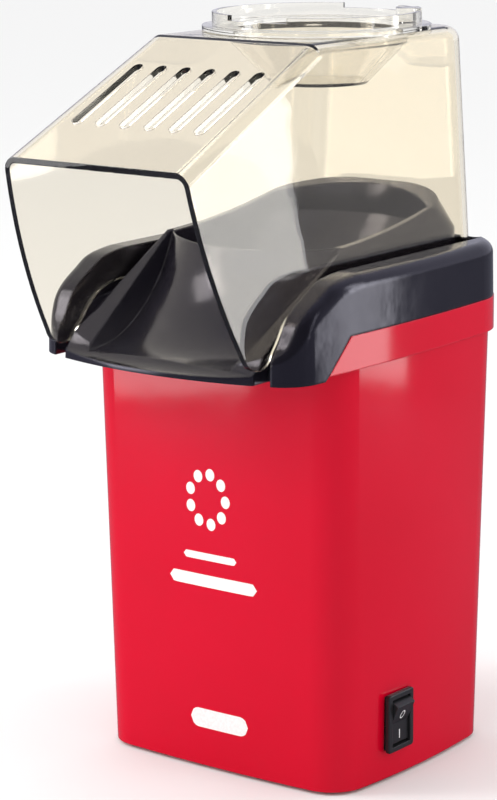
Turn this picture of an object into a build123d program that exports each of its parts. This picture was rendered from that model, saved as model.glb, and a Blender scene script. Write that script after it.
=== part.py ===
from build123d import *
import os
from math import atan2, cos, radians, sin, tan

os.makedirs("parts", exist_ok=True)

# Hot-air popcorn maker, millimetres. +Z is up, the spout points along -Y, and the
# origin lies on the worktop under the middle of the whole appliance.

# ---------------------------------------------------------------- driving dimensions
FOOT_STAND = 1.0            # height of the housing edge above the worktop
AXIS_Y = 26.0               # common axis of motor, fan, heater and chamber

HOUSING_STEP_Z = 149.8      # where the housing steps out to the band
HOUSING_TOP_Z = 161.5       # top edge of the housing, under the cover
HOUSING_WALL = 2.5
BOTTOM_HALF_WIDTH = 51.6    # plan half width at the corners, bottom edge
BOTTOM_FRONT = -22.2
BOTTOM_REAR = 69.2
TOP_HALF_WIDTH = 53.4       # the same at the step
TOP_FRONT = -25.0
TOP_REAR = 73.8
SIDE_BULGE = 3.25           # bow of each side wall
END_BULGE = 2.0             # bow of the front and rear walls
BOTTOM_RADII = (13.5, 15.0)  # front and rear vertical corners, bottom edge
TOP_RADII = (12.5, 15.5)

COVER_HALF_WIDTH = 54.7     # collar, flush with the housing band
COVER_FRONT = -51.3
TOWER_FRONT = -54.0         # the apron and lip stand ahead of the collar's ends
COVER_REAR = 81.5
COVER_FRONT_BULGE = 3.2
TOWER_FRONT_BULGE = 5.5
COVER_RADII = (13.0, 25.5)
COVER_TOP_Z = 181.0
COVER_EDGE = 4.5            # rounding of the collar's outer top edge
APRON_Z = 148.3             # lower edge of the apron in front
COVER_WALL = 2.4
DECK_UNDERSIDE_Z = 163.4
GROOVE_FLOOR_Z = 166.0
GROOVE_HALF_WIDTH = 46.0    # outer wall of the groove that takes the hood
GROOVE_REAR = 81.1
GROOVE_RADIUS = 12.5

# Inner tower at apron, rim and crown heights: half widths in front and behind, rear, rear radius.
TOWER_SECTIONS = (
    (APRON_Z, 40.4, 37.9, 77.4, 13.0),
    (184.0, 37.6, 36.2, 77.4, 13.0),
    (202.0, 36.2, 35.1, 72.9, 30.0),
)
CROWN_REAR = 77.4
CREST_FRONT_Z = 185.8       # tilted top of the funnel, front and rear
CREST_MIDDLE_Z = 189.8
CREST_REAR_Z = 199.0
CREST_RADIUS = 44.0         # funnel radius at the front of the crest
CREST_TOP_RADIUS = 44.5     # and behind it, where the wall stands almost upright
FUNNEL_NECK_RADIUS = 30.0
FUNNEL_NECK_Z = 163.4
FUNNEL_SIDE = 33.6          # flat side walls inside the funnel
LIP_Z = 151.3               # chute floor at the front lip
LIP_HALF_WIDTH = 30.5

HOOD_WALL = 2.0
HOOD_TOP_Z = 255.0
HOOD_FOOT_Z = 153.3         # tip of the front tongues
HOOD_FOOT_HALF_WIDTH = 42.8
HOOD_TOP_HALF_WIDTH = 36.0
HOOD_REAR = 80.3
HOOD_CREASE_Y = -10.8       # where the flat top turns down to the spout
SPOUT_Y = -84.1
SPOUT_Z = 220.6
SPOUT_BOW_Y = -77.3         # middle of the bowed opening edge
SPOUT_BOW_Z = 195.0
TONGUE_FRONT_Y = -60.8
TONGUE_FRONT_Z = 158.5
TONGUE_REAR_Y = -47.5
HOOD_SKIRT_Z = 171.5        # lower edge of the hood inside the groove
HOOD_CORNER = 12.0
HOOD_EDGE = 5.0
STEAM_SLOTS = 6
STEAM_SLOT_PITCH = 10.3
STEAM_SLOT_WIDTH = 3.8
STEAM_SLOT_LENGTH = 38.5
STEAM_SLOT_PLACE = 0.48     # middle of the slots, as a share of the way down the slope

CUP_Y = 36.8                # axis of the measuring cup
CUP_SKIRT_RADIUS = 30.8
CUP_FLANGE_RADIUS = 40.0
CUP_RIM_RADIUS = 36.5
CUP_RIM_Z = 261.5
CUP_FLOOR_Z = 236.3
CUP_FLOOR_RADIUS = 17.0
CUP_WALL = 1.6
CUP_FIT = 0.6               # radial gap between cup and hood opening
CUP_LUG_ANGLE = 42.0        # heading of the thumb lug on the rim
CUP_LUG_HEIGHT = 6.8
CUP_LUG_SIZE = (8.2, 9.0)   # radial and across

SWITCH_Y = 7.9
SWITCH_Z = 21.1
SWITCH_FACE_X = 57.0        # outer face of the bezel
SWITCH_BEZEL = (15.0, 21.0)  # along Y and Z
SWITCH_BODY = (12.8, 19.0)
ROCKER_SIZE = (10.2, 16.2)
ROCKER_TILT = 12.0          # the rocker stands this far either side of its middle
ROCKER_PIVOT_DEPTH = 3.1
ROCKER_FACE = 2.2           # middle of the rocker's face ahead of its pivot

CHAMBER_RADIUS = 30.0       # inside
CHAMBER_WALL = 1.0
CHAMBER_FLOOR_Z = 106.0
FLANGE_RADIUS = 38.0
SHROUD_RADIUS = 34.5        # inside
SHROUD_WALL = 0.8
SHROUD_BOTTOM_Z = 76.0
SHROUD_TOP_Z = 160.0
SEAL_THICKNESS = 2.0
SHROUD_SCREW_Z = 78.0
SHROUD_SCREW_HEADINGS = (30, 150, 270)
CLAMP_SCREW_CIRCLE = 43.0   # radius of the screws that hang the shroud under the cover

FAN_HOUSING_RADIUS = 34.2
FAN_HOUSING_WALL = 2.0
FAN_FLOOR_Z = 62.0
FAN_TOP_Z = 80.0
IMPELLER_RADIUS = 27.0
IMPELLER_BLADES = 12
SHAFT_RADIUS = 1.5
SHAFT_CLEARANCE = 0.04
MOTOR_RADIUS = 14.0
MOTOR_WALL = 1.0
MOTOR_BOTTOM_Z = 26.0
MOTOR_NECK_RADIUS = 4.6
MOTOR_SCREW_RADIUS = 8.5

CORD_BORE_RADIUS = 3.4      # mains cord inlet
CORD_X = 0.0
CORD_Z = 18.0

FIT = 0.3                   # gap between seated plastic pieces
SEAM = 0.15                 # joint line between cover and housing

BASE_SCREW_SPOTS = [(-45.4, -12.0), (45.4, -12.0), (-44.8, 58.4), (44.8, 58.4)]
COVER_SCREW_SPOTS = [(x, y) for x in (-44.5, 44.5) for y in (-15.0, 63.0)]
FOOT_SPOTS = {
    "front_left": (-32.0, -11.0),
    "front_right": (32.0, -11.0),
    "rear_left": (-32.0, 58.0),
    "rear_right": (32.0, 58.0),
}


# ---------------------------------------------------------------- shared outlines
def bowed(start, middle, end):
    """One side of an outline: an arc through its middle, or a line if it is straight."""
    sag = Vector(*middle) - (Vector(*start) + Vector(*end)) / 2
    if sag.length < 0.001:
        Line(start, end)
    else:
        ThreePointArc(start, middle, end)


def outline(z, half_width, front, rear, bulges, radii, rear_half_width=None):
    """Plan outline at height z. bulges: side, front, rear. radii: front and rear corners."""
    middle = (front + rear) / 2
    rear_half = half_width if rear_half_width is None else rear_half_width
    middle_half = (half_width + rear_half) / 2
    side, ahead, behind = bulges
    with BuildSketch(Plane.XY.offset(z)) as plan:
        with BuildLine():
            bowed((-half_width, front), (0, front - ahead), (half_width, front))
            bowed((half_width, front), (middle_half + side, middle), (rear_half, rear))
            bowed((rear_half, rear), (0, rear + behind), (-rear_half, rear))
            bowed((-rear_half, rear), (-middle_half - side, middle), (-half_width, front))
        make_face()
        fillet(plan.vertices().group_by(Axis.Y)[0], radii[0])
        fillet(plan.vertices().group_by(Axis.Y)[-1], radii[1])
    return plan.sketch


def housing_section(z, inset=0.0):
    """Section of the drafted housing at height z, moved in by inset."""
    share = (z - FOOT_STAND) / (HOUSING_STEP_Z - FOOT_STAND)
    half_width = BOTTOM_HALF_WIDTH + share * (TOP_HALF_WIDTH - BOTTOM_HALF_WIDTH)
    front = BOTTOM_FRONT + share * (TOP_FRONT - BOTTOM_FRONT)
    rear = BOTTOM_REAR + share * (TOP_REAR - BOTTOM_REAR)
    radii = [b + share * (t - b) - inset for b, t in zip(BOTTOM_RADII, TOP_RADII)]
    bulges = (SIDE_BULGE, END_BULGE, END_BULGE)
    return outline(z, half_width - inset, front + inset, rear - inset, bulges, radii)


def cover_section(z, inset=0.0):
    """Section of the collar and of the housing band below it."""
    bulges = (SIDE_BULGE, COVER_FRONT_BULGE, END_BULGE)
    radii = (COVER_RADII[0] - inset, COVER_RADII[1] - inset)
    return outline(z, COVER_HALF_WIDTH - inset, COVER_FRONT + inset, COVER_REAR - inset, bulges, radii)


def side_profile(points_and_curve, width):
    """Closed profile in the YZ plane, extruded to both sides of the middle plane."""
    with BuildPart() as block:
        with BuildSketch(Plane.YZ):
            with BuildLine():
                points_and_curve()
            make_face()
        extrude(amount=width, both=True)
    return block.part


# ---------------------------------------------------------------- housing
def band_profile(gap=0.0):
    """Region of the housing band: behind the slanting front edge of the collar."""
    def draw():
        Polyline((-35.4 + gap, APRON_Z), (-33.6 + gap, HOUSING_STEP_Z), (-22.0 + gap, HOUSING_TOP_Z),
                 (100, HOUSING_TOP_Z), (100, APRON_Z), (-35.4 + gap, APRON_Z))
    return side_profile(draw, 80)


with BuildPart() as housing_band:
    extrude(cover_section(HOUSING_STEP_Z), amount=HOUSING_TOP_Z - HOUSING_STEP_Z)
    add(band_profile(SEAM), mode=Mode.INTERSECT)
    with Locations((0, TOP_FRONT + 1, HOUSING_STEP_Z)):
        Box(2 * GROOVE_HALF_WIDTH, 60, 60, align=(Align.CENTER, Align.MAX, Align.CENTER), mode=Mode.SUBTRACT)

TAB_Z = 150.5
TAB_THICKNESS = 2.5
with BuildPart() as cover_tabs:
    with BuildSketch(Plane.XY.offset(TAB_Z)):
        with Locations(*COVER_SCREW_SPOTS):
            Rectangle(17, 17)
    extrude(amount=TAB_THICKNESS)
    extrude(housing_section(TAB_Z, HOUSING_WALL / 2), amount=TAB_THICKNESS, mode=Mode.INTERSECT)

BASE_PLATE_Z = 1.6
BASE_PLATE_THICKNESS = 2.4
BOSS_BOTTOM_Z = BASE_PLATE_Z + BASE_PLATE_THICKNESS + 0.1
BOSS_TOP_Z = 24.0
with BuildPart() as base_bosses:
    with BuildSketch(Plane.XY.offset(BOSS_BOTTOM_Z)):
        with Locations(*BASE_SCREW_SPOTS):
            Circle(4.4)
        with Locations(*[(x + 3 * x / abs(x), y) for x, y in BASE_SCREW_SPOTS]):
            Rectangle(8, 4)
    extrude(amount=BOSS_TOP_Z - BOSS_BOTTOM_Z)
    loft([housing_section(z, HOUSING_WALL / 2) for z in (BOSS_BOTTOM_Z - 1, BOSS_TOP_Z + 1)],
         mode=Mode.INTERSECT)

# The front wall is lower under the chute, whose floor falls towards the corners of the lip.
FRONT_STEP_Y = -13.5
FRONT_STEP_Z = 156.2
FRONT_STEP_HALF_WIDTH = 39.5
with BuildPart() as housing:
    loft([housing_section(FOOT_STAND), housing_section(HOUSING_STEP_Z)])
    extrude(housing_section(HOUSING_STEP_Z), amount=HOUSING_TOP_Z - HOUSING_STEP_Z)
    add(housing_band.part)
    loft([housing_section(FOOT_STAND - 2, HOUSING_WALL), housing_section(HOUSING_TOP_Z + 2, HOUSING_WALL)],
         mode=Mode.SUBTRACT)
    add(cover_tabs.part)
    add(base_bosses.part)
    with Locations(*[(x, y, BOSS_BOTTOM_Z) for x, y in BASE_SCREW_SPOTS]):
        Cylinder(1.4, 14, align=(Align.CENTER, Align.CENTER, Align.MIN), mode=Mode.SUBTRACT)
    with Locations(*[(x, y, TAB_Z) for x, y in COVER_SCREW_SPOTS]):
        Cylinder(1.8, 3 * TAB_THICKNESS, mode=Mode.SUBTRACT)
    with Locations((0, FRONT_STEP_Y, FRONT_STEP_Z)):
        Box(2 * FRONT_STEP_HALF_WIDTH, 60, 20, align=(Align.CENTER, Align.MAX, Align.MIN), mode=Mode.SUBTRACT)
    with Locations((SWITCH_FACE_X, SWITCH_Y, SWITCH_Z)):
        Box(20, SWITCH_BODY[0] + 2 * FIT, SWITCH_BODY[1] + 2 * FIT, mode=Mode.SUBTRACT)
    with Locations(Plane((CORD_X, TOP_REAR, CORD_Z), z_dir=(0, 1, 0))):
        Cylinder(CORD_BORE_RADIUS + 2.4 + FIT, 30, mode=Mode.SUBTRACT)

# ---------------------------------------------------------------- base cover, feet and screws
AIR_SLOTS = 18
with BuildPart() as base_cover:
    extrude(housing_section(BASE_PLATE_Z, HOUSING_WALL + FIT), amount=BASE_PLATE_THICKNESS)
    with Locations((0, AXIS_Y, BASE_PLATE_Z)):
        with PolarLocations(23, AIR_SLOTS):
            Box(18, 3, 8, mode=Mode.SUBTRACT)
    with Locations(*[(x, y, BASE_PLATE_Z) for x, y in BASE_SCREW_SPOTS]):
        Cylinder(1.9, 10, mode=Mode.SUBTRACT)
        Cylinder(2.9, 2.2, mode=Mode.SUBTRACT)
    with Locations(*[(x, y, BASE_PLATE_Z) for x, y in FOOT_SPOTS.values()]):
        Cylinder(2.2, 10, mode=Mode.SUBTRACT)

with BuildPart() as base_screws:
    with Locations(*[(x, y, BASE_PLATE_Z) for x, y in BASE_SCREW_SPOTS]):
        Cylinder(2.6, 1.0, align=(Align.CENTER, Align.CENTER, Align.MIN))
        Cylinder(1.3, 14, align=(Align.CENTER, Align.CENTER, Align.MIN))
        Box(3.6, 0.8, 1.0, mode=Mode.SUBTRACT)

feet = {}
for place, (x, y) in FOOT_SPOTS.items():
    with BuildPart() as foot:
        with Locations((x, y, 0)):
            Cylinder(5.5, BASE_PLATE_Z, align=(Align.CENTER, Align.CENTER, Align.MIN))
            Cylinder(2.1, 6.0, align=(Align.CENTER, Align.CENTER, Align.MIN))
        chamfer(foot.edges().group_by(Axis.Z)[0], 0.5)
    feet["foot_" + place] = foot.part


# ---------------------------------------------------------------- top cover
def fender_profile():
    """Side view of the collar: rounded nose in front, level top behind."""
    Line((-62, APRON_Z), (-62, 152))
    Spline((-62, 152), (-51.0, 158.2), (-43.8, 168.6), (-33.0, 176.1), (-14, COVER_TOP_Z),
           tangents=((0.3, 1), (1, 0.06)))
    Line((-14, COVER_TOP_Z), (100, COVER_TOP_Z))
    Line((100, COVER_TOP_Z), (100, APRON_Z))
    Line((100, APRON_Z), (-62, APRON_Z))


def tower_profile():
    """Side view of the inner tower: steep front edge, rim, and the tilted crown."""
    Line((-62, APRON_Z), (-62, 149.5))
    Spline((-62, 149.5), (-51.5, 153.3), (-47.2, 161.5), (-39, 174.1), (-24.5, 182.6), (-12, CREST_FRONT_Z),
           tangents=((1, 0.02), (1, 0.12)))
    ThreePointArc((-12, CREST_FRONT_Z), (38, CREST_MIDDLE_Z), (CROWN_REAR, CREST_REAR_Z))
    Line((CROWN_REAR, CREST_REAR_Z), (CROWN_REAR + 4, CREST_REAR_Z))
    Line((CROWN_REAR + 4, CREST_REAR_Z), (CROWN_REAR + 4, APRON_Z))
    Line((CROWN_REAR + 4, APRON_Z), (-62, APRON_Z))


def groove_profile():
    """Side view of the space over the groove floor, open at the front."""
    Polyline((-70, 140), (-46, 140), (-44.5, 153), (-38, 161.5), (-29, 165), (-18, GROOVE_FLOOR_Z),
             (100, GROOVE_FLOOR_Z), (100, 220), (-70, 220), (-70, 140))


with BuildPart() as collar:
    extrude(cover_section(APRON_Z), amount=COVER_TOP_Z - APRON_Z, taper=1)
    add(side_profile(fender_profile, 80), mode=Mode.INTERSECT)
    upper_edges = collar.edges().filter_by(lambda e: e.center().Z > 155 and abs(e.tangent_at(0.5).Z) < 0.9)
    fillet(upper_edges, COVER_EDGE)

with BuildPart() as groove_space:
    extrude(outline(140, GROOVE_HALF_WIDTH, -70, GROOVE_REAR, (0, 0, 0), (1, GROOVE_RADIUS)), amount=80)
    add(side_profile(groove_profile, 80), mode=Mode.INTERSECT)

with BuildPart() as tower:
    loft([outline(z, wide, TOWER_FRONT, rear, (0, TOWER_FRONT_BULGE, 0), (1.5, corner), narrow)
          for z, wide, narrow, rear, corner in TOWER_SECTIONS], ruled=True)
    add(side_profile(tower_profile, 80), mode=Mode.INTERSECT)

FUNNEL_TOP_Z = 205.0
with BuildPart() as funnel_space:
    with BuildSketch(Plane((0, AXIS_Y, 0), x_dir=(1, 0, 0), z_dir=(0, -1, 0))):
        with BuildLine():
            Polyline((0, 140), (FUNNEL_NECK_RADIUS, 140), (FUNNEL_NECK_RADIUS, FUNNEL_NECK_Z),
                     (CREST_RADIUS, CREST_FRONT_Z), (CREST_TOP_RADIUS, FUNNEL_TOP_Z), (0, FUNNEL_TOP_Z), (0, 140))
        make_face()
    revolve(axis=Axis((0, AXIS_Y, 0), (0, 0, 1)))
    with Locations((0, AXIS_Y, 170)):
        Box(2 * FUNNEL_SIDE, 200, 100, mode=Mode.INTERSECT)

CHUTE_OUT = 92.0            # the chute floor is a flared skirt round the funnel, out to here
with BuildPart() as chute_block:
    with BuildSketch(Plane((0, AXIS_Y, 0), x_dir=(1, 0, 0), z_dir=(0, -1, 0))):
        with BuildLine():
            Spline((CREST_RADIUS, CREST_FRONT_Z), (51.5, 169), (66, 156.6), (CHUTE_OUT, LIP_Z),
                   tangents=((0.22, -1), (1, -0.04)))
            Polyline((CHUTE_OUT, LIP_Z), (CHUTE_OUT, 230), (CREST_RADIUS, 230), (CREST_RADIUS, CREST_FRONT_Z))
        make_face()
    revolve(axis=Axis((0, AXIS_Y, 0), (0, 0, 1)))
    with Locations((0, 0, 180)):
        Box(90, 120, 120, align=(Align.CENTER, Align.MAX, Align.CENTER), mode=Mode.INTERSECT)

# Each wing beside the chute has two flat facets that meet in a ridge from the lip corner.
RIDGE_FOOT = Vector(LIP_HALF_WIDTH, TOWER_FRONT - 1, LIP_Z)
RIDGE_TOP = Vector(34.5, -16, 176.5)
WING_TOP = Vector(37.5, -31, 180)
VALLEY = Vector(25.5, -34, 163.5)


def facet(first, second, third, side):
    """Plane through three points of the right wing, mirrored for the left one."""
    a, b, c = [Vector(side * p.X, p.Y, p.Z) for p in (first, second, third)]
    normal = (b - a).cross(c - a)
    if normal.X * side > 0:
        normal = -normal
    return Plane(a, z_dir=normal)


with BuildPart() as chute_upper:
    add(chute_block.part)
    split(bisect_by=facet(RIDGE_FOOT, RIDGE_TOP, WING_TOP, 1), keep=Keep.TOP)
    split(bisect_by=facet(RIDGE_FOOT, RIDGE_TOP, WING_TOP, -1), keep=Keep.TOP)

with BuildPart() as chute_lower:
    add(chute_block.part)
    split(bisect_by=facet(RIDGE_FOOT, RIDGE_TOP, VALLEY, 1), keep=Keep.TOP)
    split(bisect_by=facet(RIDGE_FOOT, RIDGE_TOP, VALLEY, -1), keep=Keep.TOP)


# The hollow under the chute follows the flared floor.
with BuildPart() as chute_hollow:
    with BuildSketch(Plane((0, AXIS_Y, 0), x_dir=(1, 0, 0), z_dir=(0, -1, 0))):
        with BuildLine():
            Polyline((34, 140), (34, 163), (38, 171), (45.5, 171), (48.5, 164), (60, 154.5), (75, 149.6),
                     (75, 140), (34, 140))
        make_face()
    revolve(axis=Axis((0, AXIS_Y, 0), (0, 0, 1)))
    with Locations((0, -8, 150)):
        Box(62, 80, 80, align=(Align.CENTER, Align.MAX, Align.CENTER), mode=Mode.INTERSECT)

with BuildPart() as deck_hollow:
    extrude(cover_section(140, COVER_WALL), amount=DECK_UNDERSIDE_Z - 140)
    with Locations((0, TOP_FRONT - END_BULGE - 0.6, 150)):
        Box(140, 140, 60, align=(Align.CENTER, Align.MIN, Align.CENTER), mode=Mode.INTERSECT)
    with Locations((0, FRONT_STEP_Y, FRONT_STEP_Z + 0.6)):
        Box(2 * FRONT_STEP_HALF_WIDTH, 60, 20, align=(Align.CENTER, Align.MAX, Align.MIN), mode=Mode.SUBTRACT)

# Hollows inside the fenders and behind the funnel keep the walls near one thickness.
with BuildPart() as corner_hollows:
    extrude(outline(160, FUNNEL_SIDE + 0.2, AXIS_Y - 30, CROWN_REAR - 3.6, (0, 0, 0), (8, 10)), amount=14)
    with Locations((0, AXIS_Y, 160)):
        Cylinder(FUNNEL_NECK_RADIUS + 9.4, 30, mode=Mode.SUBTRACT)

with BuildPart() as screw_posts:
    with Locations(*[(x, y, TAB_Z + TAB_THICKNESS + 0.1) for x, y in COVER_SCREW_SPOTS]):
        Cylinder(4.0, GROOVE_FLOOR_Z - TAB_Z - TAB_THICKNESS - 1, align=(Align.CENTER, Align.CENTER, Align.MIN))
    with Locations((0, AXIS_Y, SHROUD_TOP_Z + 0.1)):
        with PolarLocations(CLAMP_SCREW_CIRCLE, 4, 45):
            Cylinder(3.6, 16.5, align=(Align.CENTER, Align.CENTER, Align.MIN))

with BuildPart() as top_cover:
    add(collar.part)
    add(groove_space.part, mode=Mode.SUBTRACT)
    add(tower.part)
    add(band_profile(0), mode=Mode.SUBTRACT)
    add(deck_hollow.part, mode=Mode.SUBTRACT)
    add(chute_hollow.part, mode=Mode.SUBTRACT)
    add(corner_hollows.part, mode=Mode.SUBTRACT)
    with Locations(*[(side * 51.6, AXIS_Y, DECK_UNDERSIDE_Z) for side in (-1, 1)]):
        Box(6.4, 66, 26, mode=Mode.SUBTRACT)
    add(screw_posts.part)
    add(funnel_space.part, mode=Mode.SUBTRACT)
    add(chute_upper.part, mode=Mode.SUBTRACT)
    add(chute_lower.part, mode=Mode.SUBTRACT)
    with Locations(*[(x, y, TAB_Z) for x, y in COVER_SCREW_SPOTS]):
        Cylinder(1.3, 24, mode=Mode.SUBTRACT)
    with Locations((0, AXIS_Y, SHROUD_TOP_Z)):
        with PolarLocations(CLAMP_SCREW_CIRCLE, 4, 45):
            Cylinder(1.3, 22, mode=Mode.SUBTRACT)

with BuildPart() as cover_screws:
    with Locations(*[(x, y, TAB_Z) for x, y in COVER_SCREW_SPOTS]):
        Cylinder(3.2, 1.8, align=(Align.CENTER, Align.CENTER, Align.MAX))
        Cylinder(1.2, 11, align=(Align.CENTER, Align.CENTER, Align.MIN))

# ---------------------------------------------------------------- hood
HOOD_SLOPE = atan2(HOOD_TOP_Z - SPOUT_Z, HOOD_CREASE_Y - SPOUT_Y)
HOOD_DRAFT = (HOOD_FOOT_HALF_WIDTH - HOOD_TOP_HALF_WIDTH) / (HOOD_TOP_Z - HOOD_FOOT_Z)


def hood_hull(inset, front, foot):
    """The hood's faces moved in by inset, closed at the planes front and foot."""
    top = HOOD_TOP_Z - inset
    rear = HOOD_REAR - inset
    crease = HOOD_CREASE_Y + inset * tan(HOOD_SLOPE / 2)

    def side_view():
        Polyline((front, foot), (rear, foot), (rear, top), (crease, top),
                 (front, top - (crease - front) * tan(HOOD_SLOPE)), (front, foot))

    with BuildPart() as hull:
        add(side_profile(side_view, 80))
        with BuildPart(mode=Mode.PRIVATE) as front_view:
            with BuildSketch(Plane.XZ):
                wide = HOOD_FOOT_HALF_WIDTH - inset + HOOD_DRAFT * (HOOD_FOOT_Z - foot)
                narrow = HOOD_TOP_HALF_WIDTH - inset + HOOD_DRAFT * inset
                Polygon((-wide, foot), (wide, foot), (narrow, top), (-narrow, top), align=None)
            extrude(amount=200, both=True)
        add(front_view.part, mode=Mode.INTERSECT)
        uprights = hull.faces().sort_by(Axis.Y)[-1].edges().filter_by(lambda e: abs(e.tangent_at(0.5).Z) > 0.7)
        fillet(uprights, HOOD_CORNER - inset)
        top_face = hull.faces().sort_by(Axis.Z)[-1]
        slope_face = hull.faces().filter_by(lambda f: f.normal_at().Y < -0.2 and f.normal_at().Z > 0.5)[0]
        side_edges = (top_face.edges() + slope_face.edges()).filter_by(lambda e: abs(e.center().X) > 20)
        fillet(side_edges + top_face.edges().sort_by(Axis.Y)[-1:], HOOD_EDGE - inset)
    return hull.part


def spout_cut():
    """Everything ahead of the bowed opening edge."""
    ThreePointArc((SPOUT_Y, SPOUT_Z), (SPOUT_BOW_Y, SPOUT_BOW_Z), (TONGUE_FRONT_Y, TONGUE_FRONT_Z))
    Polyline((TONGUE_FRONT_Y, TONGUE_FRONT_Z), (TONGUE_FRONT_Y, 130), (-120, 130), (-120, SPOUT_Z + 3),
             (SPOUT_Y, SPOUT_Z))


def hood_trim():
    """What is cut away below the hood: skirt in the groove, tongues in front."""
    Line((100, 140), (100, HOOD_SKIRT_Z))
    Line((100, HOOD_SKIRT_Z), (-20, HOOD_SKIRT_Z))
    Spline((-20, HOOD_SKIRT_Z), (-31, 170.2), (-38.5, 166.5), (-43.5, 160.5), (TONGUE_REAR_Y, 155.6),
           tangents=((-1, 0), (-0.55, -1)))
    ThreePointArc((TONGUE_REAR_Y, 155.6), (-53.6, HOOD_FOOT_Z), (TONGUE_FRONT_Y, TONGUE_FRONT_Z))
    Line((TONGUE_FRONT_Y, TONGUE_FRONT_Z), (-90, TONGUE_FRONT_Z + 1))
    Line((-90, TONGUE_FRONT_Z + 1), (-90, 140))
    Line((-90, 140), (100, 140))


with BuildPart() as hood:
    add(hood_hull(0, SPOUT_Y - 4, 145))
    add(hood_hull(HOOD_WALL, SPOUT_Y - 10, 140), mode=Mode.SUBTRACT)
    add(side_profile(spout_cut, 80), mode=Mode.SUBTRACT)
    add(side_profile(hood_trim, 80), mode=Mode.SUBTRACT)
    with Locations((0, CUP_Y, HOOD_TOP_Z)):
        Cylinder(CUP_SKIRT_RADIUS + CUP_FIT, 4 * HOOD_WALL, mode=Mode.SUBTRACT)
    slope = Vector(0, SPOUT_Y - HOOD_CREASE_Y, SPOUT_Z - HOOD_TOP_Z)
    slot_middle = Vector(0, HOOD_CREASE_Y, HOOD_TOP_Z) + slope * STEAM_SLOT_PLACE
    panel = Plane(slot_middle, x_dir=(1, 0, 0), z_dir=Vector(1, 0, 0).cross(-slope))
    with BuildSketch(panel):
        with GridLocations(STEAM_SLOT_PITCH, 1, STEAM_SLOTS, 1):
            SlotOverall(STEAM_SLOT_LENGTH, STEAM_SLOT_WIDTH, rotation=90)
    extrude(amount=2 * HOOD_WALL, both=True, mode=Mode.SUBTRACT)

# ---------------------------------------------------------------- measuring cup
def cup_outside():
    Polyline((0, CUP_FLOOR_Z), (CUP_FLOOR_RADIUS, CUP_FLOOR_Z), (CUP_SKIRT_RADIUS, CUP_CONE_TOP_Z),
             (CUP_SKIRT_RADIUS, CUP_FLANGE_Z), (CUP_FLANGE_RADIUS, CUP_FLANGE_Z),
             (CUP_FLANGE_RADIUS, CUP_FLANGE_Z + CUP_WALL), (CUP_RIM_RADIUS, CUP_FLANGE_Z + CUP_WALL),
             (CUP_RIM_RADIUS, CUP_RIM_Z), (0, CUP_RIM_Z), (0, CUP_FLOOR_Z))


def cup_inside():
    Polyline((0, CUP_FLOOR_Z + CUP_WALL), (CUP_FLOOR_RADIUS - 0.4, CUP_FLOOR_Z + CUP_WALL),
             (CUP_SKIRT_RADIUS - CUP_WALL, CUP_CONE_TOP_Z + 0.6),
             (CUP_SKIRT_RADIUS - CUP_WALL, CUP_FLANGE_Z + CUP_WALL),
             (CUP_RIM_RADIUS - CUP_WALL, CUP_FLANGE_Z + CUP_WALL),
             (CUP_RIM_RADIUS - CUP_WALL, CUP_RIM_Z + 5), (0, CUP_RIM_Z + 5), (0, CUP_FLOOR_Z + CUP_WALL))


CUP_FLANGE_Z = HOOD_TOP_Z + 0.2
CUP_CONE_TOP_Z = 250.5
CUP_FLANGE_FLAT = 37.5      # the flange is cut flat at both sides, over the hood's edges
CUP_NOTCH_DEPTH = 1.8
CUP_NOTCH_ANGLE = 40.0
with BuildPart() as measuring_cup:
    with BuildSketch(Plane((0, CUP_Y, 0), x_dir=(1, 0, 0), z_dir=(0, -1, 0))):
        with BuildLine():
            cup_outside()
        make_face()
        with BuildLine():
            cup_inside()
        make_face(mode=Mode.SUBTRACT)
    revolve(axis=Axis((0, CUP_Y, 0), (0, 0, 1)))
    Box(2 * CUP_FLANGE_FLAT, 400, 600, mode=Mode.INTERSECT)
    for heading in (-90, 90):
        with BuildSketch(Plane.XY.offset(CUP_RIM_Z - CUP_NOTCH_DEPTH)):
            with BuildLine():
                reach = CUP_RIM_RADIUS + 4
                ends = [(reach * cos(radians(heading + turn)), CUP_Y + reach * sin(radians(heading + turn)))
                        for turn in (-CUP_NOTCH_ANGLE / 2, 0, CUP_NOTCH_ANGLE / 2)]
                Polyline((0, CUP_Y), ends[0], ends[1], ends[2], (0, CUP_Y))
            make_face()
        extrude(amount=5, mode=Mode.SUBTRACT)
    lug = Plane((0, CUP_Y, CUP_FLANGE_Z), x_dir=(cos(radians(CUP_LUG_ANGLE)), sin(radians(CUP_LUG_ANGLE)), 0),
                z_dir=(0, 0, 1))
    with BuildSketch(lug):
        with Locations((CUP_RIM_RADIUS - CUP_LUG_SIZE[0] / 2, 0)):
            RectangleRounded(*CUP_LUG_SIZE, 1.2)
    extrude(amount=CUP_LUG_HEIGHT)

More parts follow.
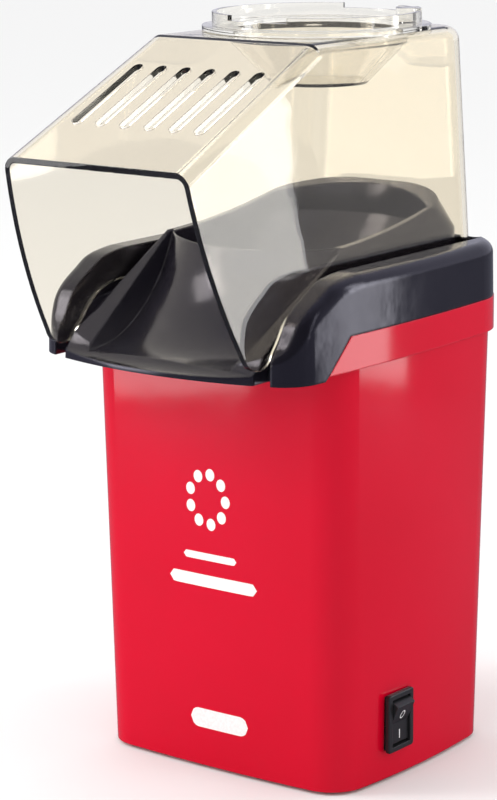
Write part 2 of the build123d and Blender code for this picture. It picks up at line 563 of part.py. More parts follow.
# ---------------------------------------------------------------- chamber, seal and shroud
CHAMBER_FLANGE_Z = SHROUD_TOP_Z + SEAL_THICKNESS
CHAMBER_SLOTS = 24
with BuildPart() as popping_chamber:
    with BuildSketch(Plane((0, AXIS_Y, 0), x_dir=(1, 0, 0), z_dir=(0, -1, 0))):
        with BuildLine():
            Polyline((0, CHAMBER_FLOOR_Z + 5), (8, CHAMBER_FLOOR_Z + 3), (22, CHAMBER_FLOOR_Z),
                     (CHAMBER_RADIUS + CHAMBER_WALL, CHAMBER_FLOOR_Z),
                     (CHAMBER_RADIUS + CHAMBER_WALL, CHAMBER_FLANGE_Z), (FLANGE_RADIUS, CHAMBER_FLANGE_Z),
                     (FLANGE_RADIUS, CHAMBER_FLANGE_Z + CHAMBER_WALL),
                     (CHAMBER_RADIUS, CHAMBER_FLANGE_Z + CHAMBER_WALL),
                     (CHAMBER_RADIUS, CHAMBER_FLOOR_Z + CHAMBER_WALL), (22, CHAMBER_FLOOR_Z + CHAMBER_WALL),
                     (8, CHAMBER_FLOOR_Z + 3 + CHAMBER_WALL), (0, CHAMBER_FLOOR_Z + 5 + CHAMBER_WALL),
                     (0, CHAMBER_FLOOR_Z + 5))
        make_face()
    revolve(axis=Axis((0, AXIS_Y, 0), (0, 0, 1)))
    for step in range(CHAMBER_SLOTS):
        heading = 360 / CHAMBER_SLOTS * step
        outward = Vector(cos(radians(heading)), sin(radians(heading)), 0)
        along = Vector(-sin(radians(heading)), cos(radians(heading)), 0) * 0.5 + Vector(0, 0, 0.87)
        middle = Vector(0, AXIS_Y, CHAMBER_FLOOR_Z + 10) + outward * CHAMBER_RADIUS
        with BuildSketch(Plane(middle, x_dir=along, z_dir=outward)):
            SlotOverall(11, 1.6)
        extrude(amount=3, both=True, mode=Mode.SUBTRACT)

with BuildPart() as chamber_seal:
    with Locations((0, AXIS_Y, SHROUD_TOP_Z)):
        Cylinder(FLANGE_RADIUS, SEAL_THICKNESS, align=(Align.CENTER, Align.CENTER, Align.MIN))
        Cylinder(CHAMBER_RADIUS + CHAMBER_WALL + FIT, SEAL_THICKNESS,
                 align=(Align.CENTER, Align.CENTER, Align.MIN), mode=Mode.SUBTRACT)

with BuildPart() as heater_shroud:
    with Locations((0, AXIS_Y, SHROUD_BOTTOM_Z)):
        Cylinder(SHROUD_RADIUS + SHROUD_WALL, SHROUD_TOP_Z - SHROUD_BOTTOM_Z,
                 align=(Align.CENTER, Align.CENTER, Align.MIN))
    with Locations((0, AXIS_Y, SHROUD_TOP_Z)):
        Cylinder(FLANGE_RADIUS, SHROUD_WALL, align=(Align.CENTER, Align.CENTER, Align.MAX))
        with PolarLocations(CLAMP_SCREW_CIRCLE, 4, 45):
            Cylinder(4.2, SHROUD_WALL, align=(Align.CENTER, Align.CENTER, Align.MAX))
        with PolarLocations(CLAMP_SCREW_CIRCLE - 4, 4, 45):
            Box(8, 8.4, SHROUD_WALL, align=(Align.CENTER, Align.CENTER, Align.MAX))
    with Locations((0, AXIS_Y, SHROUD_BOTTOM_Z)):
        Cylinder(SHROUD_RADIUS, 200, mode=Mode.SUBTRACT)
    with Locations((0, AXIS_Y, SHROUD_TOP_Z)):
        with PolarLocations(CLAMP_SCREW_CIRCLE, 4, 45):
            Cylinder(1.7, 10, mode=Mode.SUBTRACT)
    for heading in SHROUD_SCREW_HEADINGS:
        outward = Vector(cos(radians(heading)), sin(radians(heading)), 0)
        with Locations(Plane(Vector(0, AXIS_Y, SHROUD_SCREW_Z), z_dir=outward)):
            Cylinder(1.3, 40, align=(Align.CENTER, Align.CENTER, Align.MIN), mode=Mode.SUBTRACT)

with BuildPart() as clamp_screws:
    with Locations((0, AXIS_Y, SHROUD_TOP_Z - SHROUD_WALL)):
        with PolarLocations(CLAMP_SCREW_CIRCLE, 4, 45):
            Cylinder(3.0, 1.8, align=(Align.CENTER, Align.CENTER, Align.MAX))
            Cylinder(1.2, 9, align=(Align.CENTER, Align.CENTER, Align.MIN))

with BuildPart() as shroud_screws:
    for heading in SHROUD_SCREW_HEADINGS:
        outward = Vector(cos(radians(heading)), sin(radians(heading)), 0)
        with Locations(Plane(Vector(0, AXIS_Y, SHROUD_SCREW_Z) + outward * (SHROUD_RADIUS + SHROUD_WALL + 0.2),
                             z_dir=outward)):
            Cylinder(2.4, 1.4, align=(Align.CENTER, Align.CENTER, Align.MIN))
            Cylinder(1.1, 3.2, align=(Align.CENTER, Align.CENTER, Align.MAX))

# ---------------------------------------------------------------- heater
MICA_HALF_WIDTH = 22.0
MICA_THICKNESS = 0.8
MICA_BOTTOM_Z = 82.0
MICA_HEIGHT = 21.0
mica_boards = {}
for letter, turn in (("a", 0), ("b", 90)):
    with BuildPart() as board:
        with Locations(Location((0, AXIS_Y, MICA_BOTTOM_Z), (0, 0, turn))):
            Box(2 * MICA_HALF_WIDTH, MICA_THICKNESS, MICA_HEIGHT, align=(Align.CENTER, Align.CENTER, Align.MIN))
            with Locations((0, 0, MICA_HEIGHT / 2 if letter == "a" else 0)):
                Box(MICA_THICKNESS + 0.2, 4, MICA_HEIGHT / 2 + 0.1,
                    align=(Align.CENTER, Align.CENTER, Align.MIN), mode=Mode.SUBTRACT)
    mica_boards["mica_board_" + letter] = board.part

COIL_RADIUS = 24.8
COIL_WIRE_RADIUS = 0.5
COIL_TURNS = 4
COIL_PITCH = 4.0
with BuildPart() as heating_coil:
    with BuildLine() as winding:
        corners = [(COIL_RADIUS * cos(radians(90 * i)), AXIS_Y + COIL_RADIUS * sin(radians(90 * i)),
                    MICA_BOTTOM_Z + 2.5 + COIL_PITCH * i / 4) for i in range(4 * COIL_TURNS + 1)]
        FilletPolyline(*corners, radius=4)
    with BuildSketch(Plane(corners[0], z_dir=Vector(*corners[1]) - Vector(*corners[0]))):
        Circle(COIL_WIRE_RADIUS)
    sweep()

with BuildPart() as thermostat:
    with Locations((-(SHROUD_RADIUS + SHROUD_WALL + 0.4), AXIS_Y, 128)):
        Box(1.2, 24, 9, align=(Align.MAX, Align.CENTER, Align.CENTER))
    with Locations(Plane((-(SHROUD_RADIUS + SHROUD_WALL + 1.6), AXIS_Y, 128), z_dir=(-1, 0, 0))):
        Cylinder(8, 6, align=(Align.CENTER, Align.CENTER, Align.MIN))
        with Locations((0, 0, 6)):
            Box(14, 4, 3, align=(Align.CENTER, Align.CENTER, Align.MIN))

with BuildPart() as thermal_fuse:
    with Locations((SHROUD_RADIUS + SHROUD_WALL + 2.6, AXIS_Y, 124)):
        Cylinder(2.0, 14)
        Cylinder(0.5, 34)

# ---------------------------------------------------------------- fan and motor
with BuildPart() as fan_housing:
    with Locations((0, AXIS_Y, FAN_FLOOR_Z)):
        Cylinder(FAN_HOUSING_RADIUS, FAN_TOP_Z - FAN_FLOOR_Z, align=(Align.CENTER, Align.CENTER, Align.MIN))
    with Locations((0, AXIS_Y, FAN_FLOOR_Z + FAN_HOUSING_WALL)):
        Cylinder(FAN_HOUSING_RADIUS - FAN_HOUSING_WALL, 40,
                 align=(Align.CENTER, Align.CENTER, Align.MIN), mode=Mode.SUBTRACT)
    with Locations((0, AXIS_Y, FAN_FLOOR_Z)):
        Cylinder(MOTOR_NECK_RADIUS + FIT, 10, mode=Mode.SUBTRACT)
        with PolarLocations(18.5, 12, 15):
            Box(7, 5, 10, mode=Mode.SUBTRACT)
        with PolarLocations(MOTOR_SCREW_RADIUS, 2, 0):
            Cylinder(1.4, 10, mode=Mode.SUBTRACT)
    for heading in SHROUD_SCREW_HEADINGS:
        outward = Vector(cos(radians(heading)), sin(radians(heading)), 0)
        with Locations(Plane(Vector(0, AXIS_Y, SHROUD_SCREW_Z), z_dir=outward)):
            Cylinder(1.2, 40, align=(Align.CENTER, Align.CENTER, Align.MIN), mode=Mode.SUBTRACT)

HUB_RADIUS = 5.0
FAN_PLATE_Z = FAN_FLOOR_Z + 4.2
with BuildPart() as fan_impeller:
    with Locations((0, AXIS_Y, FAN_PLATE_Z)):
        Cylinder(IMPELLER_RADIUS, 1.4, align=(Align.CENTER, Align.CENTER, Align.MIN))
        Cylinder(HUB_RADIUS, 11, align=(Align.CENTER, Align.CENTER, Align.MIN))
        with PolarLocations((HUB_RADIUS + IMPELLER_RADIUS) / 2 + 1, IMPELLER_BLADES):
            Box(IMPELLER_RADIUS - HUB_RADIUS - 4, 1.2, 10.5, rotation=(0, 0, 25),
                align=(Align.CENTER, Align.CENTER, Align.MIN))
        Cylinder(SHAFT_RADIUS + 0.01, 60, mode=Mode.SUBTRACT)

MOTOR_TOP_Z = FAN_FLOOR_Z - 0.1
SHAFT_BOTTOM_Z = MOTOR_BOTTOM_Z - 1.5
with BuildPart() as motor_shaft:
    with Locations((0, AXIS_Y, SHAFT_BOTTOM_Z)):
        Cylinder(SHAFT_RADIUS, FAN_PLATE_Z + 11 - SHAFT_BOTTOM_Z, align=(Align.CENTER, Align.CENTER, Align.MIN))

BUSH_RADIUS = 3.0
BUSH_LENGTH = 3.0
with BuildPart() as motor_can:
    with Locations((0, AXIS_Y, MOTOR_BOTTOM_Z)):
        Cylinder(MOTOR_RADIUS, MOTOR_TOP_Z - MOTOR_BOTTOM_Z, align=(Align.CENTER, Align.CENTER, Align.MIN))
    with Locations((0, AXIS_Y, MOTOR_TOP_Z)):
        Cylinder(MOTOR_NECK_RADIUS, 2.2, align=(Align.CENTER, Align.CENTER, Align.MIN))
    with Locations((0, AXIS_Y, MOTOR_TOP_Z - MOTOR_WALL)):
        Cylinder(MOTOR_RADIUS - MOTOR_WALL, 60, align=(Align.CENTER, Align.CENTER, Align.MAX), mode=Mode.SUBTRACT)
    with Locations((0, AXIS_Y, MOTOR_TOP_Z)):
        Cylinder(BUSH_RADIUS, 20, mode=Mode.SUBTRACT)
        with PolarLocations(MOTOR_SCREW_RADIUS, 2, 0):
            Cylinder(1.2, 10, mode=Mode.SUBTRACT)

with BuildPart() as motor_end_cap:
    with Locations((0, AXIS_Y, MOTOR_BOTTOM_Z)):
        Cylinder(MOTOR_RADIUS - MOTOR_WALL - 0.05, 3.0, align=(Align.CENTER, Align.CENTER, Align.MIN))
        Cylinder(BUSH_RADIUS + 1.6, 3.0, align=(Align.CENTER, Align.CENTER, Align.MAX))
        Cylinder(BUSH_RADIUS, 20, mode=Mode.SUBTRACT)
    with Locations(*[(side * 9, AXIS_Y, MOTOR_BOTTOM_Z) for side in (-1, 1)]):
        Box(0.6, 3, 5, align=(Align.CENTER, Align.CENTER, Align.MAX))

with BuildPart() as motor_bushes:
    for base_z in (MOTOR_TOP_Z + 2.2 - BUSH_LENGTH, MOTOR_BOTTOM_Z):
        with Locations((0, AXIS_Y, base_z)):
            Cylinder(BUSH_RADIUS, BUSH_LENGTH, align=(Align.CENTER, Align.CENTER, Align.MIN))
    with Locations((0, AXIS_Y, MOTOR_BOTTOM_Z)):
        Cylinder(SHAFT_RADIUS + SHAFT_CLEARANCE, 200, mode=Mode.SUBTRACT)

ROTOR_RADIUS = 9.2
with BuildPart() as motor_rotor:
    with Locations((0, AXIS_Y, MOTOR_BOTTOM_Z + 9)):
        Cylinder(ROTOR_RADIUS, 18, align=(Align.CENTER, Align.CENTER, Align.MIN))
        with PolarLocations(ROTOR_RADIUS, 5):
            Box(6, 1.6, 40, mode=Mode.SUBTRACT)
    with Locations((0, AXIS_Y, MOTOR_BOTTOM_Z + 4)):
        Cylinder(3.5, 6, align=(Align.CENTER, Align.CENTER, Align.MIN))
    with Locations((0, AXIS_Y, MOTOR_BOTTOM_Z)):
        Cylinder(SHAFT_RADIUS + 0.01, 100, mode=Mode.SUBTRACT)

with BuildPart() as motor_magnets:
    with Locations((0, AXIS_Y, MOTOR_BOTTOM_Z + 8)):
        Cylinder(MOTOR_RADIUS - MOTOR_WALL - 0.05, 20, align=(Align.CENTER, Align.CENTER, Align.MIN))
        Cylinder(ROTOR_RADIUS + 0.6, 100, mode=Mode.SUBTRACT)
        Box(12, 60, 100, mode=Mode.SUBTRACT)

with BuildPart() as motor_screws:
    with Locations((0, AXIS_Y, FAN_FLOOR_Z + FAN_HOUSING_WALL)):
        with PolarLocations(MOTOR_SCREW_RADIUS, 2, 0):
            Cylinder(2.2, 1.2, align=(Align.CENTER, Align.CENTER, Align.MIN))
            Cylinder(1.1, 4.2, align=(Align.CENTER, Align.CENTER, Align.MAX))

RECTIFIER_Z = MOTOR_BOTTOM_Z - 8.0
with BuildPart() as rectifier_board:
    with Locations((0, AXIS_Y, RECTIFIER_Z)):
        Cylinder(13, 1.6, align=(Align.CENTER, Align.CENTER, Align.MIN))
        with Locations((-9, 0), (9, 0)):
            Cylinder(1.2, 10, mode=Mode.SUBTRACT)

with BuildPart() as rectifier_diodes:
    with Locations(*[(x, AXIS_Y + y, RECTIFIER_Z - 2.0) for x in (-4, 4) for y in (-5, 5)]):
        Cylinder(1.5, 5, rotation=(0, 90, 0))

# ---------------------------------------------------------------- switch
BEZEL_THICKNESS = 1.5
PIVOT_X = SWITCH_FACE_X - ROCKER_PIVOT_DEPTH
ROCKER_WELL = (ROCKER_SIZE[0] + 0.6, ROCKER_SIZE[1] + 0.9)
with BuildPart() as switch_body:
    with BuildSketch(Plane((SWITCH_FACE_X - BEZEL_THICKNESS, SWITCH_Y, SWITCH_Z), x_dir=(0, 1, 0), z_dir=(1, 0, 0))):
        RectangleRounded(SWITCH_BEZEL[0], SWITCH_BEZEL[1], 1.2)
    extrude(amount=BEZEL_THICKNESS)
    fillet(switch_body.edges().group_by(Axis.X)[-1], 0.5)
    with Locations((SWITCH_FACE_X - BEZEL_THICKNESS, SWITCH_Y, SWITCH_Z)):
        Box(15, SWITCH_BODY[0], SWITCH_BODY[1], align=(Align.MAX, Align.CENTER, Align.CENTER))
    with Locations((SWITCH_FACE_X + 1, SWITCH_Y, SWITCH_Z)):
        Box(13, ROCKER_WELL[0], ROCKER_WELL[1], align=(Align.MAX, Align.CENTER, Align.CENTER), mode=Mode.SUBTRACT)
    with Locations(Plane((PIVOT_X, SWITCH_Y, SWITCH_Z), z_dir=(0, 1, 0))):
        Cylinder(1.1, SWITCH_BODY[0], mode=Mode.SUBTRACT)

with BuildPart() as switch_rocker:
    # Drawn in its middle position about the pivot, then turned to the pressed-in rest position.
    with BuildSketch(Plane((PIVOT_X, SWITCH_Y, SWITCH_Z), x_dir=(1, 0, 0), z_dir=(0, -1, 0))):
        Circle(ROCKER_SIZE[1] / 2)
        with BuildLine():
            rise = 10 * tan(radians(ROCKER_TILT))
            Polyline((-5, -10), (-5, 10), (ROCKER_FACE + rise, 10), (ROCKER_FACE, 0), (ROCKER_FACE + rise, -10),
                     (-5, -10))
        make_face(mode=Mode.INTERSECT)
    extrude(amount=ROCKER_SIZE[0] / 2, both=True)
    with Locations(Plane((PIVOT_X, SWITCH_Y, SWITCH_Z), z_dir=(0, 1, 0))):
        Cylinder(1.05, SWITCH_BODY[0] - 0.1)

rocker_axis = Axis((PIVOT_X, SWITCH_Y, SWITCH_Z), (0, 1, 0))
rocker_part = switch_rocker.part.rotate(rocker_axis, ROCKER_TILT)

with BuildPart() as switch_terminals:
    with Locations(*[(SWITCH_FACE_X - BEZEL_THICKNESS - 15.0, SWITCH_Y, SWITCH_Z + z) for z in (-6, 6)]):
        Box(7, 4.8, 0.8, align=(Align.MAX, Align.CENTER, Align.CENTER))

# ---------------------------------------------------------------- cord inlet
with BuildPart() as cord_gland:
    wall_y = BOTTOM_REAR + END_BULGE + (CORD_Z - FOOT_STAND) / (HOUSING_STEP_Z - FOOT_STAND) * (TOP_REAR - BOTTOM_REAR)
    with Locations(Plane((CORD_X, wall_y + 0.4, CORD_Z), z_dir=(0, 1, 0))):
        Cylinder(CORD_BORE_RADIUS + 5, 2.6, align=(Align.CENTER, Align.CENTER, Align.MIN))
        Cylinder(CORD_BORE_RADIUS + 2.4, HOUSING_WALL + 5, align=(Align.CENTER, Align.CENTER, Align.MAX))
    fillet(cord_gland.edges().group_by(Axis.Y)[-1], 1.0)
    with Locations(Plane((CORD_X, wall_y, CORD_Z), z_dir=(0, 1, 0))):
        Cylinder(CORD_BORE_RADIUS, 40, mode=Mode.SUBTRACT)

# ---------------------------------------------------------------- write every node
NODES = {
    "housing": housing.part,
    "base_cover": base_cover.part,
    "base_screws": base_screws.part,
    **feet,
    "top_cover": top_cover.part,
    "cover_screws": cover_screws.part,
    "hood": hood.part,
    "measuring_cup": measuring_cup.part,
    "popping_chamber": popping_chamber.part,
    "chamber_seal": chamber_seal.part,
    "heater_shroud": heater_shroud.part,
    "clamp_screws": clamp_screws.part,
    "shroud_screws": shroud_screws.part,
    **mica_boards,
    "heating_coil": heating_coil.part,
    "thermostat": thermostat.part,
    "thermal_fuse": thermal_fuse.part,
    "fan_housing": fan_housing.part,
    "fan_impeller": fan_impeller.part,
    "motor_shaft": motor_shaft.part,
    "motor_can": motor_can.part,
    "motor_end_cap": motor_end_cap.part,
    "motor_bushes": motor_bushes.part,
    "motor_rotor": motor_rotor.part,
    "motor_magnets": motor_magnets.part,
    "motor_screws": motor_screws.part,
    "rectifier_board": rectifier_board.part,
    "rectifier_diodes": rectifier_diodes.part,
    "switch_body": switch_body.part,
    "switch_rocker": rocker_part,
    "switch_terminals": switch_terminals.part,
    "cord_gland": cord_gland.part,
}
for name, part in NODES.items():
    part.label = name
    export_step(part, "parts/" + name + ".step")
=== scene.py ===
from math import cos, pi, radians, sin

import bmesh
import bpy
from mathutils import Matrix, Vector
from mathutils.bvhtree import BVHTree


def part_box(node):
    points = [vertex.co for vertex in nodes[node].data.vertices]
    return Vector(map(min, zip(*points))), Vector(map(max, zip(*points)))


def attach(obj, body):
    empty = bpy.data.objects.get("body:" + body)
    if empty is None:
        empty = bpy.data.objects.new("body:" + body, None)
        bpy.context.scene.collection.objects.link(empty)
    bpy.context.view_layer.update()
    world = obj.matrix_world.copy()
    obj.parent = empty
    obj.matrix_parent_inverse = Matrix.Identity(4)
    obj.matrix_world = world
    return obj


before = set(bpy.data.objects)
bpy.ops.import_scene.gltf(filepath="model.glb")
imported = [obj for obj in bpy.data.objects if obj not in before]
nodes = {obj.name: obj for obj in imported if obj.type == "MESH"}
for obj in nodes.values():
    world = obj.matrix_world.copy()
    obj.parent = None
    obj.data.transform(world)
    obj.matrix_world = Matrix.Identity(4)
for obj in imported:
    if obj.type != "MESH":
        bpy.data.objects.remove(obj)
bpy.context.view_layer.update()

# ---------------------------------------------------------------- worktop, light and camera
# The popper stands on a plain pale worktop in an even white surround. Soft panels light it
# from the left front, from high on the left and from the right rear, and narrow ones give
# the gloss plastic its upright streaks.
FLOOR_COLOUR = (0.93, 0.93, 0.93)
FLOOR_HALF = 9.0
FLOOR_DROP = 0.0002
REFLECTED_FLOOR = (0.20, 0.20, 0.25, 1)
REFLECTED_ROOM = (0.84, 0.84, 1.0, 1)
ROOM_DARK_SIDE = (0.55, -0.83, 0.0)
# How far the room turns to its dark side, from and to, and its strength at either end.
ROOM_FADE = (-0.5, 0.7, 0.70, 0.03)


def link(tree, start, end):
    tree.links.new(start, end)


def principled(name, colour, roughness, metallic=0.0):
    """A new material and its shader, with the even values on the shader's own sockets."""
    mat = bpy.data.materials.new(name)
    mat.use_nodes = True
    shader = mat.node_tree.nodes["Principled BSDF"]
    shader.inputs["Base Color"].default_value = (*colour, 1)
    shader.inputs["Roughness"].default_value = roughness
    shader.inputs["Metallic"].default_value = metallic
    return mat, shader


def spread(tree, value, low, high, to_low, to_high):
    """Map a value's range onto another one."""
    node = tree.nodes.new("ShaderNodeMapRange")
    for name, number in zip(("From Min", "From Max", "To Min", "To Max"),
                            (low, high, to_low, to_high)):
        node.inputs[name].default_value = number
    link(tree, value, node.inputs["Value"])
    return node.outputs["Result"]


def unbent_mirror(tree):
    """1 for a glossy reflection that has passed through no clear piece, and 0 for the rest."""
    path = tree.nodes.new("ShaderNodeLightPath")
    unbent = tree.nodes.new("ShaderNodeMath")
    unbent.operation = "LESS_THAN"
    unbent.inputs[1].default_value = 0.5
    both = tree.nodes.new("ShaderNodeMath")
    both.operation = "MULTIPLY"
    link(tree, path.outputs["Transmission Depth"], unbent.inputs[0])
    link(tree, unbent.outputs["Value"], both.inputs[0])
    link(tree, path.outputs["Is Glossy Ray"], both.inputs[1])
    return both.outputs["Value"]


def show_either(tree, choice, first, second, output):
    """Send the first shader to the output, or the second one where the choice is 1."""
    either = tree.nodes.new("ShaderNodeMixShader")
    link(tree, choice, either.inputs["Fac"])
    link(tree, first, either.inputs[1])
    link(tree, second, either.inputs[2])
    link(tree, either.outputs["Shader"], tree.nodes[output].inputs["Surface"])


def mesh_piece(name, verts, faces):
    """A mesh object at the origin, linked to the scene, with its faces pointing outwards."""
    mesh = bpy.data.meshes.new(name)
    mesh.from_pydata([tuple(v) for v in verts], [], faces)
    work = bmesh.new()
    work.from_mesh(mesh)
    bmesh.ops.recalc_face_normals(work, faces=work.faces)
    work.to_mesh(mesh)
    work.free()
    piece = bpy.data.objects.new(name, mesh)
    bpy.context.scene.collection.objects.link(piece)
    return piece


floor_mat, floor_shader = principled("worktop_white", FLOOR_COLOUR, 0.9)
floor_shader.inputs["Specular IOR Level"].default_value = 0.1
floor_corners = [(x * FLOOR_HALF, y * FLOOR_HALF, -FLOOR_DROP)
                 for x, y in ((-1, -1), (1, -1), (1, 1), (-1, 1))]
floor = mesh_piece("worktop", floor_corners, [(0, 1, 2, 3)])
floor.data.materials.append(floor_mat)
# The worktop is a dim one in reflections, as dark card round the set would make it.
card = floor_mat.node_tree
dim = card.nodes.new("ShaderNodeBsdfDiffuse")
dim.inputs["Color"].default_value = REFLECTED_FLOOR
show_either(card, unbent_mirror(card), floor_shader.outputs["BSDF"], dim.outputs["BSDF"],
            "Material Output")

world = bpy.data.worlds.new("white_surround")
world.use_nodes = True
sky = world.node_tree
bright = sky.nodes["Background"]
bright.inputs["Color"].default_value = (1, 1, 1, 1)
bright.inputs["Strength"].default_value = 1.0
# Glossy surfaces reflect a dimmer room, and nearly none of it at the right front, where no
# panel stands. What is seen through the clear pieces stays white.
heading = sky.nodes.new("ShaderNodeTexCoord")
toward_dark = sky.nodes.new("ShaderNodeVectorMath")
toward_dark.operation = "DOT_PRODUCT"
toward_dark.inputs[1].default_value = ROOM_DARK_SIDE
link(sky, heading.outputs["Generated"], toward_dark.inputs[0])
room = sky.nodes.new("ShaderNodeBackground")
room.inputs["Color"].default_value = REFLECTED_ROOM
room_strength = spread(sky, toward_dark.outputs["Value"], *ROOM_FADE)
room_strength.node.interpolation_type = "SMOOTHSTEP"
link(sky, room_strength, room.inputs["Strength"])
show_either(sky, unbent_mirror(sky), bright.outputs["Background"], room.outputs["Background"],
            "World Output")
bpy.context.scene.world = world
bpy.context.scene.view_settings.view_transform = "Standard"
bpy.context.scene.view_settings.look = "None"


def soft_panel(name, place, aim, size, power):
    """A rectangular area light that faces a point on the object."""
    data = bpy.data.lights.new(name, "AREA")
    data.shape = "RECTANGLE"
    data.size, data.size_y = size
    data.energy = power
    lamp = bpy.data.objects.new(name, data)
    lamp.location = place
    lamp.rotation_euler = (Vector(aim) - Vector(place)).to_track_quat("-Z", "Y").to_euler()
    lamp.visible_camera = False
    bpy.context.scene.collection.objects.link(lamp)


# Each panel: its name, its place, the point it faces, its width and height, and its watts.
PANELS = (
    ("panel_left_front", (-0.66, -0.62, 0.36), (0, 0, 0.14), (0.20, 0.95), 2.4),
    ("panel_low_left", (-0.34, -0.40, 0.14), (0, 0, 0.12), (0.16, 0.26), 0.42),
    ("panel_low_right", (0.44, 0.42, 0.16), (0, 0, 0.12), (0.10, 0.30), 0.30),
    ("panel_high_left", (-1.05, -0.70, 1.05), (0, 0.02, 0.18), (0.55, 0.55), 4.5),
    ("panel_right_rear", (0.95, 0.95, 0.45), (0, 0, 0.12), (0.12, 1.0), 1.4),
    ("panel_right_strip", (1.25, 0.25, 0.50), (0, 0, 0.12), (0.06, 1.1), 0.8),
)
for panel in PANELS:
    soft_panel(*panel)

CAMERA_PLACE = Vector((0.5830, -0.7615, 0.3392))
CAMERA_HEADING = radians(37.573)
CAMERA_HEIGHT = radians(12.362)
CAMERA_ROLL = radians(-0.433)
CAMERA_LENS = 126.85
CAMERA_SENSOR = 36.0
back = Vector((sin(CAMERA_HEADING) * cos(CAMERA_HEIGHT), -cos(CAMERA_HEADING) * cos(CAMERA_HEIGHT),
               sin(CAMERA_HEIGHT)))
right = Vector((cos(CAMERA_HEADING), sin(CAMERA_HEADING), 0))
up = back.cross(right)
camera_x = cos(CAMERA_ROLL) * right + sin(CAMERA_ROLL) * up
camera_y = -sin(CAMERA_ROLL) * right + cos(CAMERA_ROLL) * up
camera_data = bpy.data.cameras.new("camera")
camera_data.sensor_fit = "VERTICAL"
camera_data.sensor_height = CAMERA_SENSOR
camera_data.lens = CAMERA_LENS
camera = bpy.data.objects.new("camera", camera_data)
camera_turn = Matrix((camera_x, camera_y, back)).transposed().to_4x4()
camera.matrix_world = Matrix.Translation(CAMERA_PLACE) @ camera_turn
bpy.context.scene.collection.objects.link(camera)
bpy.context.scene.camera = camera

# ---------------------------------------------------------------- housing
# The housing is one injection moulding in gloss red ABS, open at the bottom, with a drafted
# square body and a stepped band at the top. Its mould was polished, so the surface is bright
# with a very faint waviness, some dust in the gloss and slight rubbing on the corners.
RED = (0.60, 0.0015, 0.020)
RED_DEEP = (0.56, 0.0015, 0.017)
RED_WORN = (0.72, 0.05, 0.08)
BEVEL_SAMPLES = 4
WEAR_RADIUS = 0.0012
WEAR_AMOUNT = 0.35


def noise(tree, scale, detail, roughness=0.5):
    """A noise texture on the piece's own coordinates, in metres."""
    place = tree.nodes.new("ShaderNodeTexCoord")
    texture = tree.nodes.new("ShaderNodeTexNoise")
    texture.inputs["Scale"].default_value = scale
    texture.inputs["Detail"].default_value = detail
    texture.inputs["Roughness"].default_value = roughness
    link(tree, place.outputs["Object"], texture.inputs["Vector"])
    return texture.outputs["Fac"]


def two_tone(tree, value, first, second):
    """A colour between two by a texture."""
    node = tree.nodes.new("ShaderNodeMix")
    node.data_type = "RGBA"
    node.inputs["A"].default_value = (*first, 1)
    node.inputs["B"].default_value = (*second, 1)
    link(tree, value, node.inputs["Factor"])
    return node.outputs["Result"]


def rounded_normal(tree, radius):
    """The surface direction as it would be with its corners rounded."""
    bevel = tree.nodes.new("ShaderNodeBevel")
    bevel.samples = BEVEL_SAMPLES
    bevel.inputs["Radius"].default_value = radius
    return bevel.outputs["Normal"]


def relief(tree, shader, value, distance, strength, edge=0.0):
    """Bump from a texture, over edges rounded by a small radius."""
    bump = tree.nodes.new("ShaderNodeBump")
    bump.inputs["Strength"].default_value = strength
    bump.inputs["Distance"].default_value = distance
    link(tree, value, bump.inputs["Height"])
    if edge:
        link(tree, rounded_normal(tree, edge), bump.inputs["Normal"])
    link(tree, bump.outputs["Normal"], shader.inputs["Normal"])


def edge_wear(tree, colour, worn):
    """A little of the worn colour along the corners, where a rounded normal leaves the flat one."""
    flat = tree.nodes.new("ShaderNodeNewGeometry")
    agreement = tree.nodes.new("ShaderNodeVectorMath")
    agreement.operation = "DOT_PRODUCT"
    link(tree, rounded_normal(tree, WEAR_RADIUS), agreement.inputs[0])
    link(tree, flat.outputs["Normal"], agreement.inputs[1])
    rubbed = spread(tree, agreement.outputs["Value"], 0.98, 0.75, 0.0, WEAR_AMOUNT)
    patches = spread(tree, noise(tree, 180, 3), 0.42, 0.62, 0.0, 1.0)
    both = tree.nodes.new("ShaderNodeMath")
    both.operation = "MULTIPLY"
    link(tree, rubbed, both.inputs[0])
    link(tree, patches, both.inputs[1])
    mixed = two_tone(tree, both.outputs["Value"], worn, worn)
    link(tree, colour, mixed.node.inputs["A"])
    return mixed


def moulded(name, first, second, gloss, waviness, grain_scale, edge=0.0004, worn=None):
    """Moulded plastic: slow colour drift, gloss that varies with handling, faint waviness."""
    mat, shader = principled(name, first, gloss[0])
    tree = mat.node_tree
    drift = spread(tree, noise(tree, 14, 3), 0.35, 0.65, 0, 1)
    colour = two_tone(tree, drift, first, second)
    if worn:
        colour = edge_wear(tree, colour, worn)
    link(tree, colour, shader.inputs["Base Color"])
    handling = spread(tree, noise(tree, 60, 5, 0.65), 0.35, 0.7, *gloss)
    link(tree, handling, shader.inputs["Roughness"])
    relief(tree, shader, noise(tree, grain_scale, 3), waviness, 1.0, edge)
    return mat


def finish_node(node, mat):
    """Give a CAD piece its material."""
    if not nodes[node].material_slots:
        nodes[node].data.materials.append(mat)
    for material_slot in nodes[node].material_slots:
        material_slot.material = mat


finish_node("housing", moulded("gloss_red_abs", RED, RED_DEEP, gloss=(0.07, 0.10),
                               waviness=0.00004, grain_scale=40, edge=0.0006, worn=RED_WORN))

# ---------------------------------------------------------------- print on the front wall
# The front wall carries a thin white pad print. It is a plain pattern: a ring of round dots
# over two bars, and one short bar near the foot. It follows the wall and stands just proud.
PRINT_DEPTH = 0.0004
PRINT_STAND = 0.00006
RING_RADIUS = 0.0078
RING_CENTRE = (-0.0010, 0.0985)
RING_TALLNESS = 1.15
DOT_RADIUS = 0.0019
DOT_COUNT = 9
DOT_SIDES = 32
